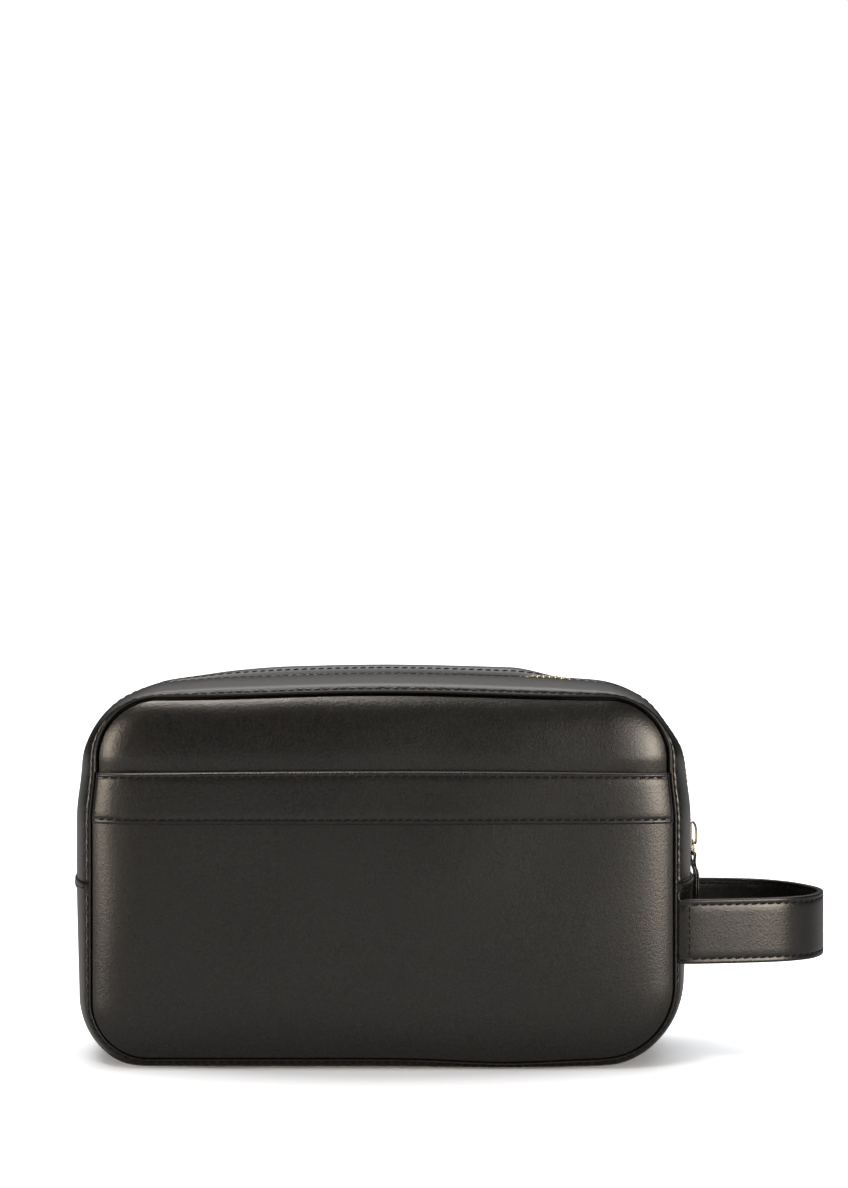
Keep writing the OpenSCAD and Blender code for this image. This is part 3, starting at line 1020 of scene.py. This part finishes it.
def end_tabs():
    """Leather tabs over the cross seams, where the zip ends are sewn down."""
    for side, end, label in ((1, 0, "right"), (-1, -1, "left")):
        lower = np.array([lower_profile(y)[end] for y in TAB_DEPTHS])
        upper = np.array([upper_profile(np.sign(y or 1) * max(abs(y), ZIP_GAP + 1.3))[end]
                          for y in TAB_DEPTHS])
        step = np.abs(upper[:, 0]) - np.abs(lower[:, 0])
        obj = loft(f"zip_end_tab_{label}_roll", tab_rings(lower, step, side))
        finish_piece(obj, TRIM_LEATHER, (f"zip_end_tab_{label}",))
        path = lower + (side * 0.6, 0, 0)
        path[:, 2] = tab_low[2] + TAB_STITCH
        row = stitches(f"thread_tab_{label}", path, constant((side, 0, 0), len(path)),
                       ends=2, size=(2.0, 0.55, 0.5), pitch=2.6)
        finish_piece(row, THREAD)


def surface_out(rows_a, rows_b, along):
    """Outward directions of a surface from two neighbouring rows and the direction along them."""
    out = np.cross(rows_b - rows_a, along)
    toward = rows_a - BAG_MIDDLE
    sign = np.sign(np.einsum("ij,ij->i", out, toward))[:, None]
    return unit(out) * sign


ZIP_STITCH = 2.4


def seam_threads():
    """Topstitches beside the seams and beside the zip."""
    near_zip = ZIP_GAP + ZIP_STITCH
    rows = (("seam_front_upper", upper_profile, SEAM_STITCH - HALF_D, "fold"),
            ("seam_back_upper", upper_profile, HALF_D - SEAM_STITCH, "bag"),
            ("seam_front_lower", lower_profile, SEAM_STITCH - HALF_D, "bag"),
            ("seam_back_lower", lower_profile, HALF_D - SEAM_STITCH, "bag"),
            ("zip_front", upper_profile, -near_zip, "fold"),
            ("zip_back", upper_profile, near_zip, "bag"))
    for label, profile, y, body in rows:
        path = profile(y)
        out = surface_out(profile(y - 0.2), profile(y + 0.2), np.gradient(path, axis=0))
        row = stitches(f"thread_{label}", path, out, ends=1.5)
        finish_piece(row, THREAD, (), body)


# ---- Strap ----

# The outer face, seen from above, from the front root round the loop to the back root
STRAP_ROUTE = ((113.6, -35.4), (116.5, -36.9), (122, -37.0), (131, -35.9), (140, -34.5), (150, -32.6),
               (160, -29.4), (169, -23.5), (174.6, -15), (177, -6), (177, 2), (174.4, 11), (168, 23),
               (158, 32), (146, 36), (130, 37.2), (120, 36.8), (113.8, 35.2))
STRAP_HALF = (strap_high[2] - strap_low[2]) / 2
STRAP_INNER_FACE = -2 * STRAP_T - 0.05
STRAP_STITCH = 2.1
STRAP_ROOT_X = 119.4


def strap_path():
    """Points of the strap's outer face along the middle of its width, and outward directions."""
    flat = curve_through(STRAP_ROUTE, 8)
    path = np.column_stack([flat, np.full(len(flat), (strap_low[2] + strap_high[2]) / 2)])
    along = unit(np.gradient(path, axis=0))
    out = np.column_stack([along[:, 1], -along[:, 0], np.zeros(len(along))])
    return path, out


def strap_section():
    """Section of one strap layer, with rounded edges and a channel for each row of stitches."""
    edge = [(0, -0.5), (0.12, -0.22), (0.45, -0.06), (0.9, 0), (1.5, -0.1), (STRAP_STITCH, -0.27),
            (2.7, -0.1), (3.4, 0)]
    left = [(inwards - STRAP_HALF, out) for inwards, out in edge]
    flat = [(x, 0) for x in np.linspace(3.4 - STRAP_HALF, STRAP_HALF - 3.4, 10)[1:-1]]
    right = [(-x, out) for x, out in left[::-1]]
    return left + flat + right + [(STRAP_HALF, -STRAP_T), (-STRAP_HALF, -STRAP_T)]


def strap():
    path, out = strap_path()
    up = constant((0, 0, 1), len(path))
    outer = sweep("strap_outer_layer", path, up, out, strap_section())
    finish_piece(outer, STRAP_LEATHER, ("strap_outer",))
    inner = sweep("strap_inner_layer", path, up, out,
                  [(across, STRAP_INNER_FACE - face) for across, face in strap_section()])
    finish_piece(inner, STRAP_LEATHER, ("strap_inner",))


def strap_threads():
    """Rows of stitches along both edges of both faces, and one across each root."""
    path, out = strap_path()
    up = constant((0, 0, 1), len(path))
    rows = []
    for face, turn in ((0, 1), (STRAP_INNER_FACE, -1)):
        for side in (-1, 1):
            line = path + up * side * (STRAP_HALF - STRAP_STITCH) + out * (face - turn * 0.2)
            rows.append(stitches("row", line, out * turn, ends=7))
    from_root = np.abs(path[:, 0] - STRAP_ROOT_X)
    middle = len(path) // 2
    for root in (np.argmin(from_root[:middle]), len(path) - 1 - np.argmin(from_root[::-1][:middle])):
        heights = np.linspace(2.6 - STRAP_HALF, STRAP_HALF - 2.6, 12)
        line = path[root] + out[root] * 0.02 + heights[:, None] * (0, 0, 1)
        rows.append(stitches("row", line, constant(out[root], len(line)), ends=0,
                             size=(2.3, 0.7, 0.6), pitch=2.8))
    finish_piece(joined("thread_strap", rows), THREAD)


# ---- Slider, link and puller ----

# The puller's strip: its middle line hangs down from the link, and its two ends lie a spread apart
PULLER_OUT = 1.3
PULLER_BEND_Z = 73.8
PULLER_T = 0.8
PULLER_SPREAD = 0.46
PULLER_TURN_R = 0.98
PULLER_NECK_Z, PULLER_NECK_RUN, PULLER_NECK_WIDTH = 75.2, 2.2, 0.5
PULLER_TIP = 2.2
PULLER_X = (link_low[0] + link_high[0]) / 2


def softened(half, edge, corner):
    """A flat section, twice half wide and twice edge thick, with its four corners cut."""
    return [(-half, -edge / 2), (-half + corner, -edge), (half - corner, -edge), (half, -edge / 2),
            (half, edge / 2), (half - corner, edge), (-half + corner, edge), (-half, edge / 2)]


def puller_path():
    """Middle line of the strip, up from one end, over the link and down to the other end."""
    hang_x = PULLER_X + PULLER_OUT
    down = [(hang_x, puller_low[2]), (hang_x, 58), (hang_x, 66), (hang_x - 0.1, PULLER_BEND_Z - 1.5),
            (hang_x - 1.1, PULLER_BEND_Z + 1.6)]
    fold = [(PULLER_X + PULLER_TURN_R * math.cos(a), link_low[2] + 0.5 + PULLER_TURN_R * math.sin(a))
            for a in np.radians([-20, 20, 55, 90, 125, 160, 200])]
    outer = [(x + PULLER_SPREAD, z) for x, z in down]
    inner = [(x - PULLER_SPREAD, z) for x, z in down[::-1]]
    flat = curve_through(outer + fold + inner, 6)
    return np.column_stack([flat[:, 0], np.zeros(len(flat)), flat[:, 1]])


def puller():
    """A strip of leather folded over the link, narrow at the fold and rounded at its end."""
    path = puller_path()
    z = path[:, 2]
    across = constant((0, 1, 0), len(path))
    out = np.cross(unit(np.gradient(path, axis=0)), across)
    neck = lerp(1.0, PULLER_NECK_WIDTH, smooth((z - PULLER_NECK_Z) / PULLER_NECK_RUN))
    from_tip = np.clip(puller_low[2] + PULLER_TIP - z, 0, PULLER_TIP) / PULLER_TIP
    tip = np.sqrt(np.clip(1 - from_tip ** 2 * 0.55, 0, 1))
    half = (puller_high[1] - puller_low[1]) / 2
    obj = sweep("puller_tongue", path, across, out, softened(half, PULLER_T / 2, 0.15), neck * tip)
    finish_piece(obj, TRIM_LEATHER, ("puller",), "puller")


def puller_threads():
    zs = np.linspace(puller_low[2] + 2.5, PULLER_BEND_Z - 1.5, 20)
    rows = []
    for face in (1, -1):
        for side in (-1, 1):
            x = PULLER_X + PULLER_OUT + face * (PULLER_SPREAD + PULLER_T / 2)
            line = np.column_stack([np.full(len(zs), x), np.full(len(zs), side * 2.7), zs])
            rows.append(stitches("row", line, constant((face, 0, 0), len(zs)), ends=0,
                                 size=(1.9, 0.5, 0.4), pitch=2.4, sink=0.02))
    finish_piece(joined("thread_puller", rows), THREAD, (), "puller")


def dress(name, material):
    """Material and rounded edges for a CAD node that stays in view."""
    node = frame["nodes"][name]
    node.data.materials.clear()
    node.data.materials.append(material)
    weld = node.modifiers.new("weld", "WELD")
    weld.merge_threshold = 0.001 * MM
    round_edges(node, 0.18, 3, 50)


BRIDGE_HEIGHT = 2.8
BRIDGE_HALF_W, BRIDGE_HALF_T = 0.9, 0.5
# Middle line of the slider's bridge: out from the outer plate's face, up from the slider's lower end
BRIDGE_LINE = ((-0.2, 3.1), (1.2, 3.0), (2.05, 3.9), (2.25, 6.3), (2.05, 9.3), (1.3, 11.5), (-0.2, 12.4))
PLATE_T = 1.0
PLATE_IN = 1.45
SLIDER_CORNER = 2.4
# Length, width and height of the flange on each side of a plate, and its place
FLANGE = (8.4, 0.8, 1.2)
FLANGE_IN, FLANGE_OUT = 0.4, 1.1


def slider_plate(x):
    """One plate, its middle at x, with rounded corners and softened edges."""
    ends = np.array([0, 0.1, 0.4, 0.9, 1.6, SLIDER_CORNER])
    inset = SLIDER_CORNER - np.sqrt(SLIDER_CORNER ** 2 - (SLIDER_CORNER - ends) ** 2)
    zs = np.concatenate([slider_low[2] + ends, slider_high[2] - ends[::-1]])
    halves = slider_high[1] - np.concatenate([inset, inset[::-1]])
    centres = np.column_stack([np.full(len(zs), x), np.zeros(len(zs)), zs])
    return sweep("plate", centres, constant((0, 1, 0), len(zs)), constant((1, 0, 0), len(zs)),
                 softened(1, PLATE_T / 2, 0.05), halves)


def slider_bridge(face):
    """The D-shaped bridge that holds the pull, on a plate whose face is at this x."""
    flat = curve_through(BRIDGE_LINE, 6)
    path = np.column_stack([face + flat[:, 0], np.zeros(len(flat)), slider_low[2] + flat[:, 1]])
    across = constant((0, 1, 0), len(path))
    out = np.cross(unit(np.gradient(path, axis=0)), across)
    ring = [(BRIDGE_HALF_W * math.cos(a), BRIDGE_HALF_T * math.sin(a))
            for a in np.linspace(0, 2 * math.pi, 13)[:-1]]
    return sweep("bridge", path, across, out, ring)


def zip_slider():
    """Two plates with side flanges, and a bridge for the pull."""
    face = slider_high[0] - BRIDGE_HEIGHT
    chain_x = (slider_low[0] + face) / 2
    middle_z = (slider_low[2] + slider_high[2]) / 2
    parts = []
    for side in (-1, 1):
        parts.append(slider_plate(chain_x + side * (PLATE_IN + PLATE_T / 2)))
        for y in (FLANGE_IN - slider_high[1], slider_high[1] - FLANGE_IN):
            centre = np.array([[chain_x + side * FLANGE_OUT, y, middle_z]])
            parts.append(repeat("flange", block(FLANGE, 0.15), centre, constant((0, 0, 1), 1),
                                constant((1, 0, 0), 1)))
    parts.append(slider_bridge(face))
    obj = joined("slider_body", parts)
    finish_piece(obj, SLIDER_METAL, ("slider",), "slider")


def metal_parts():
    for name, material in (("pull_link", SLIDER_METAL), ("zip_top_stops", TEETH_METAL),
                           ("zip_bottom_stop", TEETH_METAL)):
        dress(name, material)


# ---- Studio ----

FLOOR_HALF = 6000
# Metres from the bag's middle over which the floor turns white; sideways distances count for less
WHITE_FROM, WHITE_TO = 0.052, 0.13
SIDEWAYS = 0.6


def floor():
    """White to the camera away from the bag, so only the shadow close to it shows."""
    material, principled = shader("floor", roughness=0.9)
    seen = add(material, "ShaderNodeLightPath").outputs["Is Camera Ray"]
    link(material, mix_colour(material, seen, (0.34, 0.34, 0.34), (0.80, 0.84, 0.90)),
         principled, "Base Color")
    principled.inputs["Emission Color"].default_value = (1, 1, 1, 1)
    narrowed = add(material, "ShaderNodeVectorMath", {0: place_socket(material), 1: (SIDEWAYS, 1, 1)},
                   operation="MULTIPLY").outputs["Vector"]
    away = add(material, "ShaderNodeVectorMath", {0: narrowed}, operation="LENGTH").outputs["Value"]
    glow = remap(material, away, WHITE_FROM, WHITE_TO)
    link(material, maths(material, "MULTIPLY", seen, glow), principled, "Emission Strength")
    corners = [(x * FLOOR_HALF, y * FLOOR_HALF, 0) for x, y in ((-1, -1), (1, -1), (1, 1), (-1, 1))]
    obj = mesh_object("floor", corners, [(0, 1, 2, 3)])
    obj.data.materials.append(material)


AIM = (0, 0, 0.07)
WARM = (1, 0.86, 0.7)


def softbox(name, position, size, power, colour):
    data = bpy.data.lights.new(name, "AREA")
    data.shape = "RECTANGLE"
    data.size, data.size_y = size
    data.energy = power
    data.color = colour
    obj = in_scene(name, data)
    obj.location = position
    way = Vector(AIM) - Vector(position)
    obj.rotation_euler = way.to_track_quat("-Z", "Y").to_euler()


def lights():
    softbox("left_softbox", (-1.1, -1.0, 0.26), (0.5, 0.7), 10.3, WARM)
    softbox("right_softbox", (0.95, -1.1, 0.2), (0.6, 0.68), 12.8, WARM)
    softbox("right_wash", (0.85, -1.45, 0.25), (0.9, 0.9), 7.5, (1, 0.95, 0.9))
    softbox("top_softbox", (-0.3, -0.7, 1.1), (0.4, 0.2), 6, (1, 0.92, 0.84))
    softbox("rear_softbox", (0, 1.5, 1.0), (2.6, 0.9), 3.2, (1, 0.95, 0.9))
    data = bpy.data.lights.new("ceiling", "SUN")
    data.energy = 2.6
    data.angle = math.radians(70)
    in_scene("ceiling", data).rotation_euler = (math.radians(-14), 0, 0)


def world():
    """White behind the bag, and a grey room for everything that reflects it."""
    scene_world = bpy.data.worlds.new("studio")
    scene_world.use_nodes = True
    tree = scene_world.node_tree
    background = tree.nodes["Background"]
    background.inputs["Color"].default_value = (1, 1, 1, 1)
    path = tree.nodes.new("ShaderNodeLightPath")
    strength = tree.nodes.new("ShaderNodeMapRange")
    strength.inputs["To Min"].default_value = 0.037
    strength.inputs["To Max"].default_value = 1.05
    tree.links.new(path.outputs["Is Camera Ray"], strength.inputs["Value"])
    tree.links.new(strength.outputs["Result"], background.inputs["Strength"])
    bpy.context.scene.world = scene_world
    bpy.context.scene.view_settings.view_transform = "Standard"


def camera():
    data = bpy.data.cameras.new("camera")
    data.sensor_width = 36
    data.lens = 72.7
    data.clip_start = 0.01
    obj = in_scene("camera", data)
    obj.location = (0.01605, -0.9726, 0.185)
    obj.rotation_euler = (math.radians(90), 0, 0)
    bpy.context.scene.camera = obj


camera()
world()
lights()
floor()
front_panel()
back_panel()
pocket()
foams()
panel_linings()
band_strip()
band_threads()
lower_gusset()
lower_gusset_lining()
base_board()
zip_strips()
strip_linings()
tapes()
teeth()
end_tabs()
seam_threads()
strap()
strap_threads()
zip_slider()
metal_parts()
puller()
puller_threads()
